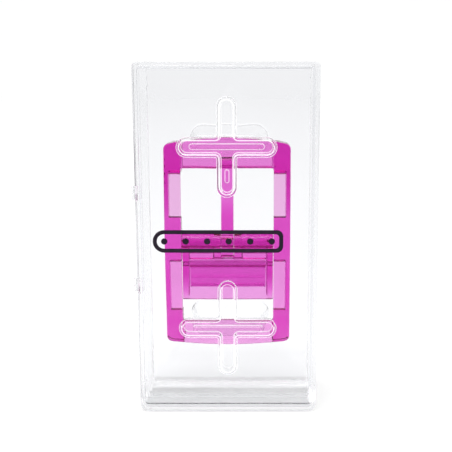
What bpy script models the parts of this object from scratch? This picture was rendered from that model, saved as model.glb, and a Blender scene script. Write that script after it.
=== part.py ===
"""A belt buckle of tinted clear plastic, packed in a clear hinged display case.

The origin is the middle of the case's underside. +Z is up, -Y is the front and +X is to
the right. The case is a deep tray and a shallow cover that swings on two knuckle hinges at
the left. The buckle stands upright inside: a frame, a pin across it, a prong and a clamp
that turn on the pin, and a toothed lever that turns in the clamp.
"""

import math

import bmesh
import bpy
from mathutils import Matrix, Vector

MM = 0.001
GAP = 0.3 * MM           # running and assembly clearance
BITE = 0.6 * MM          # how far a joined shape reaches into its neighbour
PAST = 4.0 * MM          # how far a cutter reaches past the surface that it opens

# Display case
CASE_HALF_WIDTH = 38.0 * MM
CASE_HEIGHT = 149.0 * MM
CASE_FRONT = -19.5 * MM
CASE_BACK = 19.5 * MM
CASE_WALL = 1.5 * MM
PARTING = -9.5 * MM      # the plane where the tray ends and the cover begins
LOW_CORNER = 3.5 * MM    # outer radius of the two lower corners
HIGH_CORNER = 1.8 * MM   # outer radius of the two upper corners

# Lip of the cover, which enters the tray along the bottom, the right and the top
LIP_WALL = 1.1 * MM
LIP_REACH = 3.8 * MM     # past the parting plane
LIP_BAND = 6.0 * MM      # thickened rim of the cover, in front of the parting plane
LIP_LEFT_END = -35.0 * MM

# Knuckle hinges of the case
HINGE_X = -39.1 * MM
KNUCKLE_RADIUS = 1.6 * MM
KNUCKLE_LENGTH = 6.0 * MM
CASE_PIN_RADIUS = 0.7 * MM
KNUCKLE_SPACING = 40.2 * MM

# Plus-shaped bosses on the cover and round-ended rests on the tray
BOSS_TIP = -14.0 * MM
BOSS_RADIUS = 3.75 * MM
BOSS_REACH = 20.35 * MM
BOSS_WALL = 1.25 * MM
BOSS_DRAFT = 0.25 * MM
HIGH_BOSS_Z = 114.6 * MM
LOW_BOSS_Z = 37.3 * MM
REST_HALF_SPAN = 11.45 * MM
REST_RADIUS = 3.75 * MM
REST_DRAFT = 0.1         # growth of the radius per length
HIGH_REST_Z = 115.2 * MM
HIGH_REST_TIP = -7.9 * MM
LOW_REST_Z = 33.7 * MM
LOW_REST_TIP = -11.5 * MM

# Buckle frame
BUCKLE_HALF_WIDTH = 26.5 * MM
OPENING_HALF_WIDTH = 19.5 * MM
BUCKLE_TOP = 118.3 * MM
BUCKLE_BOTTOM = 28.5 * MM
TOP_ARCH = 3.0 * MM      # how much lower the top corners are than the middle
BOTTOM_ARCH = 1.8 * MM
BUCKLE_CORNER = 2.4 * MM
END_FRONT = -13.7 * MM   # front face at both ends
BOW = 2.0 * MM           # how much prouder the middle of the rails is
BOW_LOW = 41.5 * MM
BOW_HIGH = 110.5 * MM
TOP_CORNER_BACK = -5.7 * MM
BLOCK_BACK = -10.2 * MM
BOTTOM_CORNER_BACK = -7.4 * MM
TOP_CORNER_Z = 103.4 * MM
BLOCK_HIGH = 84.6 * MM
BLOCK_LOW = 65.9 * MM
BOTTOM_CORNER_Z = 43.7 * MM
HIGH_WINDOW_SKIN = 1.4 * MM
LOW_WINDOW_SKIN = 2.6 * MM
RAIL_SIDE_WALL = 1.6 * MM
TOP_BAR_LOW = 104.8 * MM
TOP_BAR_LEAN = 4.3 * MM  # how much further back the lower edge of the top bar is
TOP_BAR_THICK = 3.3 * MM
TOP_BAR_LIP = 0.9 * MM   # height of the thick lip along its lower edge
TOP_BAR_LIP_BACK = -4.1 * MM
BOTTOM_BAR_HIGH = 39.6 * MM
BOTTOM_BAR_THICK = 1.8 * MM

# Pin across the buckle
AXIS_Y = -12.8 * MM
AXIS_Z = 73.7 * MM
PIN_RADIUS = 1.3 * MM

# Prong
PRONG_WIDTH = 5.3 * MM
PRONG_EYE = 4.3 * MM
EYE_STEP = 0.1 * MM      # how much narrower the eye is than the prong, on each side
PRONG_HEEL = 6.2 * MM    # radius of the heel below the eye
PRONG_HEEL_BACK = -10.2 * MM
PRONG_TIP_Z = 110.0 * MM
PRONG_ROOT_FRONT = -15.4 * MM
PRONG_TIP_FRONT = -13.65 * MM
PRONG_BACK = -9.6 * MM
PRONG_STEP_LOW = 85.0 * MM
PRONG_STEP_HIGH = 92.6 * MM

# Clamp
CLAMP_HALF_WIDTH = 19.2 * MM
BARREL_RADIUS = 4.6 * MM
SLOT_WIDTH = 6.6 * MM
SLOT_BOTTOM = 67.2 * MM
SLOT_CORNER = 1.0 * MM
WEB_BOTTOM = 66.4 * MM   # the thick web between the barrel and the plate
WEB_BACK = -9.6 * MM
WEB_MIDDLE_HALF_WIDTH = 6.0 * MM
WEB_MIDDLE_BACK = -8.0 * MM
CLAMP_BOTTOM = 48.8 * MM
CLAMP_PLATE_FRONT = -13.6 * MM
CLAMP_PLATE_THICK = 2.0 * MM
CHEEK_INNER = 16.8 * MM
CHEEK_BACK = -6.4 * MM

# Toothed lever
LEVER_HALF_WIDTH = 16.3 * MM
LEVER_AXIS_Y = -9.0 * MM
LEVER_AXIS_Z = 63.8 * MM
LEVER_BOSS = 2.1 * MM
LEVER_FRONT = -10.0 * MM
LEVER_BACK = -7.0 * MM
LEVER_BOTTOM = 53.7 * MM
LEVER_PIN_RADIUS = 0.8 * MM
TOOTH_HEIGHTS = (58.7 * MM, 55.2 * MM)
TOOTH_RISE = 1.2 * MM
TOOTH_HALF_BASE = 0.8 * MM

CLEAR = (0.93, 0.95, 0.97)
MAGENTA = (0.78, 0.06, 0.60)

parts = None
cutters = None


def start_scene():
    """Empties the scene and makes one collection for the parts and one for the cutters."""
    global parts, cutters
    for thing in list(bpy.data.objects):
        bpy.data.objects.remove(thing, do_unlink=True)
    parts = bpy.data.collections.new("cased_belt_buckle")
    cutters = bpy.data.collections.new("cutters")
    for group in (parts, cutters):
        bpy.context.scene.collection.children.link(group)


def plastic(name, colour, roughness, transmission):
    """A glossy plastic with some light passing through."""
    material = bpy.data.materials.new(name)
    material.use_nodes = True
    shader = material.node_tree.nodes["Principled BSDF"]
    shader.inputs["Base Color"].default_value = (*colour, 1.0)
    shader.inputs["Roughness"].default_value = roughness
    shader.inputs["Metallic"].default_value = 0.0
    shader.inputs["Transmission Weight"].default_value = transmission
    return material


def place_mesh(name, mesh_builder):
    """Turns a bmesh into an object in the cutters' collection, with its faces pointing out."""
    bmesh.ops.recalc_face_normals(mesh_builder, faces=mesh_builder.faces)
    mesh = bpy.data.meshes.new(name)
    mesh_builder.to_mesh(mesh)
    mesh_builder.free()
    thing = bpy.data.objects.new(name, mesh)
    thing.hide_render = True
    thing.display_type = 'WIRE'
    cutters.objects.link(thing)
    return thing


def box(name, low, high, corner_radii=None):
    """A box between two corners. corner_radii rounds the lower and upper edges along Y."""
    builder = bmesh.new()
    bmesh.ops.create_cube(builder, size=1.0)
    low, high = Vector(low), Vector(high)
    for vert in builder.verts:
        vert.co = [low[i] + (vert.co[i] + 0.5) * (high[i] - low[i]) for i in range(3)]
    if corner_radii:
        middle = (low.z + high.z) / 2
        for radius, is_low in zip(corner_radii, (True, False)):
            edges = [edge for edge in builder.edges
                     if abs((edge.verts[0].co - edge.verts[1].co).normalized().y) > 0.9
                     and (edge.verts[0].co.z < middle) == is_low]
            bmesh.ops.bevel(builder, geom=edges, offset=radius, segments=5,
                            profile=0.5, affect='EDGES')
    return place_mesh(name, builder)


def cylinder(name, radius, start, end, segments=32, end_radius=None):
    """A cylinder or a cone from one point to another."""
    start, end = Vector(start), Vector(end)
    along = end - start
    turn = along.to_track_quat('Z', 'Y').to_matrix().to_4x4()
    builder = bmesh.new()
    bmesh.ops.create_cone(builder, cap_ends=True, segments=segments, radius1=radius,
                          radius2=radius if end_radius is None else end_radius,
                          depth=along.length,
                          matrix=Matrix.Translation((start + end) / 2) @ turn)
    return place_mesh(name, builder)


def round_ended(name, first, second, root_y, tip_y, root_radius, tip_radius, segments=24):
    """A post along Y with a round-ended section, whose ends are centred on two (x, z) points."""
    builder = bmesh.new()
    for x, z in (first, second):
        turn = Matrix.Rotation(math.radians(90), 4, 'X')
        bmesh.ops.create_cone(builder, cap_ends=False, segments=segments,
                              radius1=tip_radius, radius2=root_radius,
                              depth=abs(tip_y - root_y),
                              matrix=Matrix.Translation((x, (root_y + tip_y) / 2, z)) @ turn
                              @ Matrix.Scale(1 if root_y < tip_y else -1, 4, (0, 0, 1)))
    hull = bmesh.ops.convex_hull(builder, input=builder.verts)
    bmesh.ops.delete(builder, geom=hull["geom_interior"], context='VERTS')
    bmesh.ops.dissolve_limit(builder, angle_limit=math.radians(0.5),
                             verts=builder.verts, edges=builder.edges)
    return place_mesh(name, builder)


def outline_solid(name, outline, plane, low, high):
    """A flat outline made solid from low to high along the axis that the plane leaves out."""
    curve = bpy.data.curves.new(name, 'CURVE')
    curve.dimensions = '2D'
    curve.fill_mode = 'BOTH'
    curve.extrude = (high - low) / 2
    spline = curve.splines.new('POLY')
    spline.points.add(len(outline) - 1)
    for point, (u, v) in zip(spline.points, outline):
        point.co = (u, v, 0.0, 1.0)
    spline.use_cyclic_u = True
    holder = bpy.data.objects.new(name, curve)
    bpy.context.scene.collection.objects.link(holder)
    seen = bpy.context.evaluated_depsgraph_get()
    mesh = bpy.data.meshes.new_from_object(holder.evaluated_get(seen))
    bpy.data.objects.remove(holder)
    builder = bmesh.new()
    builder.from_mesh(mesh)
    bpy.data.meshes.remove(mesh)
    bmesh.ops.remove_doubles(builder, verts=builder.verts, dist=1e-7)
    middle = (low + high) / 2
    for vert in builder.verts:
        u, v, w = vert.co
        vert.co = (middle + w, u, v) if plane == 'YZ' else (u, middle - w, v)
    return place_mesh(name, builder)


def arc(centre, radius, start, end, steps):
    """Points on an arc, with the angles in degrees."""
    return [(centre[0] + radius * math.cos(math.radians(start + (end - start) * i / steps)),
             centre[1] + radius * math.sin(math.radians(start + (end - start) * i / steps)))
            for i in range(steps + 1)]


def combine(target, tool, operation):
    """Adds an exact Boolean to the target."""
    modifier = target.modifiers.new(f"{operation.lower()} {tool.name}", 'BOOLEAN')
    modifier.operation = operation
    modifier.solver = 'EXACT'
    modifier.object = tool


def join(target, *tools):
    for tool in tools:
        combine(target, tool, 'UNION')


def cut(target, *tools):
    for tool in tools:
        combine(target, tool, 'DIFFERENCE')


def finish(thing, material, origin=(0.0, 0.0, 0.0), parent=None):
    """Makes a shape one of the parts, with its origin on the given point."""
    origin = Vector(origin)
    thing.data.transform(Matrix.Translation(-origin))
    thing.location = origin
    if parent:
        thing.parent = parent
        thing.location = origin - parent.location
    thing.hide_render = False
    thing.display_type = 'TEXTURED'
    thing.data.materials.clear()
    thing.data.materials.append(material)
    thing.data.shade_smooth()
    thing.data.set_sharp_from_angle(angle=math.radians(35))
    cutters.objects.unlink(thing)
    parts.objects.link(thing)
    return thing


def axis_empty(name, point):
    """An empty on a joint's axis, which carries the pieces that turn about it."""
    empty = bpy.data.objects.new(name, None)
    empty.location = point
    parts.objects.link(empty)
    return empty


# ---------------------------------------------------------------- display case

def tray_shell():
    """A rounded box that is open in front."""
    tray = box("case_tray", (-CASE_HALF_WIDTH, PARTING, 0.0),
               (CASE_HALF_WIDTH, CASE_BACK, CASE_HEIGHT), (LOW_CORNER, HIGH_CORNER))
    cut(tray, box("tray_hollow", (-CASE_HALF_WIDTH + CASE_WALL, PARTING - PAST, CASE_WALL),
                  (CASE_HALF_WIDTH - CASE_WALL, CASE_BACK - CASE_WALL, CASE_HEIGHT - CASE_WALL),
                  (LOW_CORNER - CASE_WALL, HIGH_CORNER - CASE_WALL)))
    return tray


def cover_shell():
    """A rounded dish, open behind, whose thick rim carries a lip that enters the tray."""
    rim = PARTING - GAP
    cover = box("case_cover", (-CASE_HALF_WIDTH, CASE_FRONT, 0.0),
                (CASE_HALF_WIDTH, rim, CASE_HEIGHT), (LOW_CORNER, HIGH_CORNER))
    inset = CASE_WALL + GAP
    join(cover, box("lip_core", (LIP_LEFT_END, rim - LIP_BAND / 2, inset),
                    (CASE_HALF_WIDTH - inset, PARTING + LIP_REACH, CASE_HEIGHT - inset),
                    (LOW_CORNER - inset, 0.4 * MM)))
    front = CASE_FRONT + CASE_WALL
    cut(cover, box("dish_hollow", (-CASE_HALF_WIDTH + CASE_WALL, front, CASE_WALL),
                   (CASE_HALF_WIDTH - CASE_WALL, rim - LIP_BAND, CASE_HEIGHT - CASE_WALL),
                   (LOW_CORNER - CASE_WALL, HIGH_CORNER - CASE_WALL)))
    inner = inset + LIP_WALL
    cut(cover, box("rim_hollow", (-CASE_HALF_WIDTH + inset, front + BITE, inner),
                   (CASE_HALF_WIDTH - inner, PARTING + LIP_REACH + PAST, CASE_HEIGHT - inner),
                   (0.6 * MM, 0.5 * MM)))
    return cover


def knuckle_middles():
    return [CASE_HEIGHT / 2 + side * KNUCKLE_SPACING / 2 for side in (1, -1)]


def knuckle(name, low, high, side):
    """One half of a knuckle with the tab that joins it to its wall, behind (1) or ahead (-1)."""
    barrel = cylinder(name, KNUCKLE_RADIUS, (HINGE_X, PARTING, low), (HINGE_X, PARTING, high), 24)
    near, far = sorted((PARTING + side * 1.5 * GAP, PARTING + side * 0.8 * KNUCKLE_RADIUS))
    tab = box(f"{name}_tab", (HINGE_X, near, low),
              (-CASE_HALF_WIDTH + 2 * BITE, far, high))
    join(barrel, tab)
    return barrel


def add_knuckles(wall, side):
    """Gives a shell its halves of both hinges, room for the other halves, and pin holes."""
    half = KNUCKLE_LENGTH / 2
    for index, middle in enumerate(knuckle_middles()):
        low, high = sorted((middle + side * GAP / 2, middle + side * half))
        room = cylinder(f"{wall.name}_room_{index}", KNUCKLE_RADIUS + GAP,
                        (HINGE_X, PARTING, middle - half - GAP),
                        (HINGE_X, PARTING, middle + half + GAP), 24)
        own = knuckle(f"{wall.name}_knuckle_{index}", low, high, side)
        hole = cylinder(f"{wall.name}_pin_hole_{index}", CASE_PIN_RADIUS + GAP,
                        (HINGE_X, PARTING, low - GAP), (HINGE_X, PARTING, high + GAP), 16)
        cut(wall, room)
        join(wall, own)
        cut(wall, hole)


def rest(name, tip, z):
    """A hollow round-ended post from the back wall, open behind, that backs a bar."""
    first, second = (-REST_HALF_SPAN, z), (REST_HALF_SPAN, z)
    root = CASE_BACK - CASE_WALL + BITE
    post = round_ended(name, first, second, root, tip,
                       REST_RADIUS + REST_DRAFT * (root - tip), REST_RADIUS)
    mouth = CASE_BACK + BITE
    floor = tip + CASE_WALL
    core = round_ended(f"{name}_core", first, second, mouth, floor,
                       REST_RADIUS - CASE_WALL + REST_DRAFT * (mouth - floor),
                       REST_RADIUS - CASE_WALL)
    return post, core


def plus(name, z, radius, draft, root, tip):
    """A plus with round ends, as one solid along Y."""
    reach = BOSS_REACH - BOSS_RADIUS
    arms = [round_ended(f"{name}_{index}", first, second, root, tip, radius + draft, radius)
            for index, (first, second) in enumerate(
                [((-reach, z), (reach, z)), ((0.0, z - reach), (0.0, z + reach))])]
    join(arms[0], arms[1])
    return arms[0]


def make_tray(material):
    tray = tray_shell()
    for name, tip, z in (("high_rest", HIGH_REST_TIP, HIGH_REST_Z),
                         ("low_rest", LOW_REST_TIP, LOW_REST_Z)):
        post, core = rest(name, tip, z)
        join(tray, post)
        cut(tray, core)
    add_knuckles(tray, 1)
    return finish(tray, material)


def make_cover(material, hinge):
    cover = cover_shell()
    for name, z in (("high_boss", HIGH_BOSS_Z), ("low_boss", LOW_BOSS_Z)):
        join(cover, plus(name, z, BOSS_RADIUS, BOSS_DRAFT, CASE_FRONT + CASE_WALL - BITE, BOSS_TIP))
        cut(cover, plus(f"{name}_pocket", z, BOSS_RADIUS - BOSS_WALL, BOSS_DRAFT,
                        CASE_FRONT - BITE, BOSS_TIP - BOSS_WALL))
    add_knuckles(cover, -1)
    return finish(cover, material, hinge.location, hinge)


def make_case_pins(material):
    half = KNUCKLE_LENGTH / 2 - GAP
    for name, middle in zip(("upper", "lower"), knuckle_middles()):
        pin = cylinder(f"case_hinge_pin_{name}", CASE_PIN_RADIUS,
                       (HINGE_X, PARTING, middle - half), (HINGE_X, PARTING, middle + half), 16)
        finish(pin, material, (HINGE_X, PARTING, middle))


# ---------------------------------------------------------------------- buckle

def bow_front(offset, low, high, steps=10):
    """Points (y, z) up the bowed front of the rails, moved back by the offset."""
    half = (BOW_HIGH - BOW_LOW) / 2
    middle = (BOW_HIGH + BOW_LOW) / 2
    points = []
    for i in range(steps + 1):
        z = low + (high - low) * i / steps
        rise = max(0.0, 1.0 - ((z - middle) / half) ** 2)
        points.append((END_FRONT - BOW * rise + offset, z))
    return points


def buckle_outline():
    """The buckle's outer outline (x, z), with arched ends and round corners."""
    outline = []
    for sign, end, arch in ((1, BUCKLE_TOP, TOP_ARCH), (-1, BUCKLE_BOTTOM, BOTTOM_ARCH)):
        radius = (BUCKLE_HALF_WIDTH ** 2 + arch ** 2) / (2 * arch)
        centre = end - sign * radius
        straight = BUCKLE_HALF_WIDTH - BUCKLE_CORNER
        corner_z = centre + sign * math.sqrt((radius - BUCKLE_CORNER) ** 2 - straight ** 2)
        swing = math.degrees(math.asin(straight / (radius - BUCKLE_CORNER)))
        upright = 90.0 * sign
        outline += arc((sign * straight, corner_z), BUCKLE_CORNER,
                       upright - 90.0, upright - swing, 4)
        outline += arc((0.0, centre), radius, upright - swing, upright + swing, 12)[1:-1]
        outline += arc((-sign * straight, corner_z), BUCKLE_CORNER,
                       upright + swing, upright + 90.0, 4)
    return outline


def rail(name, side):
    """One side of the frame, from its side profile."""
    low, high = BUCKLE_BOTTOM - BITE, BUCKLE_TOP + BITE
    front = ([(END_FRONT, low)] + bow_front(0.0, BOW_LOW, BOW_HIGH, 16) + [(END_FRONT, high)])
    back = [(TOP_CORNER_BACK, high), (TOP_CORNER_BACK, TOP_CORNER_Z),
            (BLOCK_BACK, BLOCK_HIGH), (BLOCK_BACK, BLOCK_LOW),
            (BOTTOM_CORNER_BACK, BOTTOM_CORNER_Z), (BOTTOM_CORNER_BACK, low)]
    inner, outer = sorted((side * OPENING_HALF_WIDTH, side * (BUCKLE_HALF_WIDTH + BITE)))
    return outline_solid(name, front + back, 'YZ', inner, outer)


def window(name, side, low, high, skin):
    """A pocket in a rail, open behind and towards the opening, that leaves a thin front."""
    behind = [(PAST, high), (PAST, low)]
    profile = bow_front(skin, low, high) + behind
    inner, outer = sorted((side * (OPENING_HALF_WIDTH - PAST),
                           side * (BUCKLE_HALF_WIDTH - RAIL_SIDE_WALL)))
    return outline_solid(name, profile, 'YZ', inner, outer)


def make_frame(material):
    frame = rail("buckle_frame", 1)
    reach = OPENING_HALF_WIDTH + BITE
    lean = TOP_BAR_LEAN / (BUCKLE_TOP - TOP_BAR_LOW)
    top = BUCKLE_TOP + BITE
    top_front = END_FRONT - BITE * lean
    low_front = END_FRONT + TOP_BAR_LEAN
    top_bar = outline_solid("top_bar", [(top_front, top), (low_front, TOP_BAR_LOW),
                                        (TOP_BAR_LIP_BACK, TOP_BAR_LOW),
                                        (TOP_BAR_LIP_BACK, TOP_BAR_LOW + TOP_BAR_LIP),
                                        (low_front + TOP_BAR_THICK - lean * TOP_BAR_LIP,
                                         TOP_BAR_LOW + TOP_BAR_LIP),
                                        (top_front + TOP_BAR_THICK, top)], 'YZ', -reach, reach)
    bottom_bar = box("bottom_bar", (-reach, END_FRONT, BUCKLE_BOTTOM - BITE),
                     (reach, END_FRONT + BOTTOM_BAR_THICK, BOTTOM_BAR_HIGH))
    join(frame, rail("left_rail", -1), top_bar, bottom_bar)
    outline = outline_solid("buckle_outline", buckle_outline(), 'XZ',
                            END_FRONT - BOW - PAST, TOP_CORNER_BACK + PAST)
    combine(frame, outline, 'INTERSECT')
    for side in (1, -1):
        cut(frame,
            window(f"high_window_{side}", side, BLOCK_HIGH, TOP_CORNER_Z, HIGH_WINDOW_SKIN),
            window(f"low_window_{side}", side, BOTTOM_CORNER_Z, BLOCK_LOW, LOW_WINDOW_SKIN))
    reach = BUCKLE_HALF_WIDTH + PAST
    cut(frame, cylinder("pin_bore", PIN_RADIUS + GAP, (-reach, AXIS_Y, AXIS_Z),
                        (reach, AXIS_Y, AXIS_Z), 24))
    return finish(frame, material)


def make_buckle_pin(material):
    reach = BUCKLE_HALF_WIDTH - GAP
    pin = cylinder("buckle_hinge_pin", PIN_RADIUS, (-reach, AXIS_Y, AXIS_Z),
                   (reach, AXIS_Y, AXIS_Z), 24)
    return finish(pin, material, (0.0, AXIS_Y, AXIS_Z))


def make_prong(material, pivot):
    """The prong: a flat-sided tongue from a heeled eye on the pin to a tip on the top bar."""
    half = PRONG_WIDTH / 2
    lean = TOP_BAR_LEAN / (BUCKLE_TOP - TOP_BAR_LOW)
    bar_front = END_FRONT + TOP_BAR_LEAN
    rest_low = bar_front - GAP
    rest_high = rest_low - lean * (PRONG_TIP_Z - 1.0 * MM - TOP_BAR_LOW)
    tip_middle = (PRONG_TIP_FRONT + rest_high) / 2
    profile = [(PRONG_ROOT_FRONT, PRONG_STEP_LOW),
               (PRONG_TIP_FRONT, PRONG_STEP_HIGH), (PRONG_TIP_FRONT, PRONG_TIP_Z - 1.2 * MM),
               (tip_middle - 0.4 * MM, PRONG_TIP_Z), (tip_middle + 0.4 * MM, PRONG_TIP_Z),
               (rest_high, PRONG_TIP_Z - 1.0 * MM), (rest_low, TOP_BAR_LOW),
               (PRONG_BACK, TOP_BAR_LOW - 2.0 * MM), (PRONG_BACK, AXIS_Z + BITE),
               (PRONG_HEEL_BACK, AXIS_Z - BITE)]
    ends = [math.degrees(math.acos((y - AXIS_Y) / PRONG_HEEL))
            for y in (PRONG_HEEL_BACK, PRONG_ROOT_FRONT)]
    profile += arc((AXIS_Y, AXIS_Z), PRONG_HEEL, -ends[0], -ends[1], 6)
    prong = outline_solid("buckle_prong", list(reversed(profile)), 'YZ', -half, half)
    eye = cylinder("prong_eye", PRONG_EYE, (-half + EYE_STEP, AXIS_Y, AXIS_Z),
                   (half - EYE_STEP, AXIS_Y, AXIS_Z), 32)
    bore = cylinder("prong_bore", PIN_RADIUS + GAP, (-half - PAST, AXIS_Y, AXIS_Z),
                    (half + PAST, AXIS_Y, AXIS_Z), 24)
    join(prong, eye)
    cut(prong, bore)
    return finish(prong, material, pivot.location, pivot)


def make_clamp(material, pivot):
    """The clamp: a split barrel on the pin, a plate below it and two cheeks behind."""
    reach = CLAMP_HALF_WIDTH
    plate_back = CLAMP_PLATE_FRONT + CLAMP_PLATE_THICK
    clamp = box("clamp_body", (-reach, CLAMP_PLATE_FRONT, CLAMP_BOTTOM),
                (reach, plate_back, AXIS_Z))
    barrel = cylinder("clamp_barrel", BARREL_RADIUS, (-reach, AXIS_Y, AXIS_Z),
                      (reach, AXIS_Y, AXIS_Z), 40)
    web = box("clamp_web", (-reach, CLAMP_PLATE_FRONT, WEB_BOTTOM), (reach, WEB_BACK, AXIS_Z))
    web_middle = box("clamp_web_middle", (-WEB_MIDDLE_HALF_WIDTH, AXIS_Y, WEB_BOTTOM),
                     (WEB_MIDDLE_HALF_WIDTH, WEB_MIDDLE_BACK, AXIS_Z))
    join(clamp, barrel, web, web_middle)
    for side in (1, -1):
        inner, outer = sorted((side * CHEEK_INNER, side * reach))
        cheek = outline_solid(f"clamp_cheek_{side}",
                              [(CLAMP_PLATE_FRONT, CLAMP_BOTTOM), (CLAMP_PLATE_FRONT, AXIS_Z),
                               (CHEEK_BACK - 2.0 * MM, AXIS_Z), (CHEEK_BACK, AXIS_Z - 4.0 * MM),
                               (CHEEK_BACK, LEVER_AXIS_Z - 4.0 * MM),
                               (plate_back, CLAMP_BOTTOM)][::-1], 'YZ', inner, outer)
        join(clamp, cheek)
    slot = box("prong_slot", (-SLOT_WIDTH / 2, AXIS_Y - 3 * BARREL_RADIUS, SLOT_BOTTOM),
               (SLOT_WIDTH / 2, AXIS_Y + 3 * BARREL_RADIUS, AXIS_Z + 3 * BARREL_RADIUS),
               (SLOT_CORNER, SLOT_CORNER))
    bore = cylinder("clamp_bore", PIN_RADIUS + GAP, (-reach - PAST, AXIS_Y, AXIS_Z),
                    (reach + PAST, AXIS_Y, AXIS_Z), 24)
    lever_bore = cylinder("lever_pin_bore", LEVER_PIN_RADIUS + GAP,
                          (-reach - PAST, LEVER_AXIS_Y, LEVER_AXIS_Z),
                          (reach + PAST, LEVER_AXIS_Y, LEVER_AXIS_Z), 16)
    cut(clamp, slot, bore, lever_bore)
    return finish(clamp, material, pivot.location, pivot)


def make_lever_pin(material, pivot):
    reach = CLAMP_HALF_WIDTH - GAP
    pin = cylinder("clamp_lever_pin", LEVER_PIN_RADIUS, (-reach, LEVER_AXIS_Y, LEVER_AXIS_Z),
                   (reach, LEVER_AXIS_Y, LEVER_AXIS_Z), 16)
    return finish(pin, material, pivot.location, pivot)


def make_lever(material, pivot):
    """The lever: a plate with a hinge boss along its top and tooth ridges on its front."""
    reach = LEVER_HALF_WIDTH
    lever = box("clamp_lever", (-reach, LEVER_FRONT, LEVER_BOTTOM),
                (reach, LEVER_BACK, LEVER_AXIS_Z))
    boss = cylinder("lever_boss", LEVER_BOSS, (-reach, LEVER_AXIS_Y, LEVER_AXIS_Z),
                    (reach, LEVER_AXIS_Y, LEVER_AXIS_Z), 24)
    join(lever, boss)
    for index, z in enumerate(TOOTH_HEIGHTS):
        root = LEVER_FRONT + BITE
        tooth = outline_solid(f"lever_tooth_{index}",
                              [(root, z + TOOTH_HALF_BASE), (LEVER_FRONT, z + TOOTH_HALF_BASE),
                               (LEVER_FRONT - TOOTH_RISE, z - TOOTH_HALF_BASE),
                               (root, z - TOOTH_HALF_BASE)], 'YZ',
                              -reach + BITE, reach - BITE)
        join(lever, tooth)
    bore = cylinder("lever_bore", LEVER_PIN_RADIUS + GAP,
                    (-reach - PAST, LEVER_AXIS_Y, LEVER_AXIS_Z),
                    (reach + PAST, LEVER_AXIS_Y, LEVER_AXIS_Z), 16)
    cut(lever, bore)
    return finish(lever, material, pivot.location, pivot)


def main():
    start_scene()
    cover_hinge = axis_empty("cover_hinge_axis", Vector((HINGE_X, PARTING, 0.0)))
    prong_pivot = axis_empty("prong_axis", Vector((0.0, AXIS_Y, AXIS_Z)))
    clamp_pivot = axis_empty("clamp_axis", Vector((0.0, AXIS_Y, AXIS_Z)))
    lever_pivot = axis_empty("lever_axis", Vector((0.0, LEVER_AXIS_Y, LEVER_AXIS_Z)))
    make_tray(plastic("case_tray", CLEAR, 0.08, 0.9))
    make_cover(plastic("case_cover", CLEAR, 0.08, 0.9), cover_hinge)
    make_case_pins(plastic("case_hinge_pin", CLEAR, 0.2, 0.8))
    make_frame(plastic("buckle_frame", MAGENTA, 0.12, 0.6))
    make_buckle_pin(plastic("buckle_hinge_pin", MAGENTA, 0.15, 0.6))
    make_prong(plastic("buckle_prong", MAGENTA, 0.12, 0.6), prong_pivot)
    make_clamp(plastic("clamp_body", MAGENTA, 0.12, 0.6), clamp_pivot)
    make_lever_pin(plastic("clamp_lever_pin", MAGENTA, 0.15, 0.6), clamp_pivot)
    make_lever(plastic("clamp_lever", MAGENTA, 0.12, 0.6), lever_pivot)


main()
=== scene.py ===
"""The looks of a tinted plastic belt buckle in its clear hinged display case."""

import math

import bmesh
import bpy
from mathutils import Matrix, Vector


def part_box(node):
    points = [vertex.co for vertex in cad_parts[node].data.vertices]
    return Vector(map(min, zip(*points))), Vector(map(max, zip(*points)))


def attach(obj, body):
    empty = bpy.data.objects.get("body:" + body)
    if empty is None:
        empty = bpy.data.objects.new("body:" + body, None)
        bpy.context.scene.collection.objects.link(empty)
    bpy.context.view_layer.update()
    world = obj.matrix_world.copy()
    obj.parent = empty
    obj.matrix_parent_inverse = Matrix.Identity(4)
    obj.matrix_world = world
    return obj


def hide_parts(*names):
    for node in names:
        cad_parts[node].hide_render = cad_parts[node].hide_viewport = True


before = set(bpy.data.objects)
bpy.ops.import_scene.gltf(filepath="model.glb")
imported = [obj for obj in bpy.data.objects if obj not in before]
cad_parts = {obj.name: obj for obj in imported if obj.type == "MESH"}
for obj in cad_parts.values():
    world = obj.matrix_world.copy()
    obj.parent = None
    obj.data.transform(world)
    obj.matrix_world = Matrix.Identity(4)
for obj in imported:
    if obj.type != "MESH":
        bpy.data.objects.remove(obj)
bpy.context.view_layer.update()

MM = 0.001

# ------------------------------------------------------------------ sizes from the frame

_, TRAY_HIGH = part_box("case_tray")
COVER_LOW, COVER_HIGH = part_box("case_cover")
FRAME_LOW, FRAME_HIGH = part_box("buckle_frame")
PIN_LOW, PIN_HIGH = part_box("buckle_hinge_pin")
PRONG_LOW, PRONG_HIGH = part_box("buckle_prong")
CLAMP_LOW, CLAMP_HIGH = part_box("clamp_body")
LEVER_LOW, LEVER_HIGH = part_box("clamp_lever")
LEVER_PIN_LOW, LEVER_PIN_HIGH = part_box("clamp_lever_pin")

GAP = 0.3 * MM             # between pieces that move past each other

# Display case
HALF_WIDTH = TRAY_HIGH.x
HEIGHT = TRAY_HIGH.z
FRONT = COVER_LOW.y
BACK = TRAY_HIGH.y
PARTING = FRONT + 10.0 * MM
RIM = PARTING - GAP
LIP_END = COVER_HIGH.y
WALL = 1.5 * MM
LOW_CORNER = 3.5 * MM
HIGH_CORNER = 1.8 * MM
RIM_BAND = 6.0 * MM
LIP_WALL = 1.1 * MM
LIP_LEFT_END = -35.0 * MM
SOFT_EDGE = 0.35 * MM
INNER_FILLET = 0.2 * MM
RIM_CHAMFER = 0.15 * MM
LEAST_CORNER = 0.25 * MM
HIGH_SHARE = 0.6           # of a lower corner's radius, in the corner above it in the cover
LEAST_HIGH_CORNER = 0.3 * MM
BAND_CORNER = 0.6 * MM     # inside the cover's thick rim
BAND_ROUND = 0.1 * MM
BAND_SLOPE = 0.3 * MM
DISH_FILLET = 0.5 * MM
DISH_CORNER_LOSS = 0.4 * MM
LIP_ROOT = 2.0 * MM        # how deep the lip starts inside the rim
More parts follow.
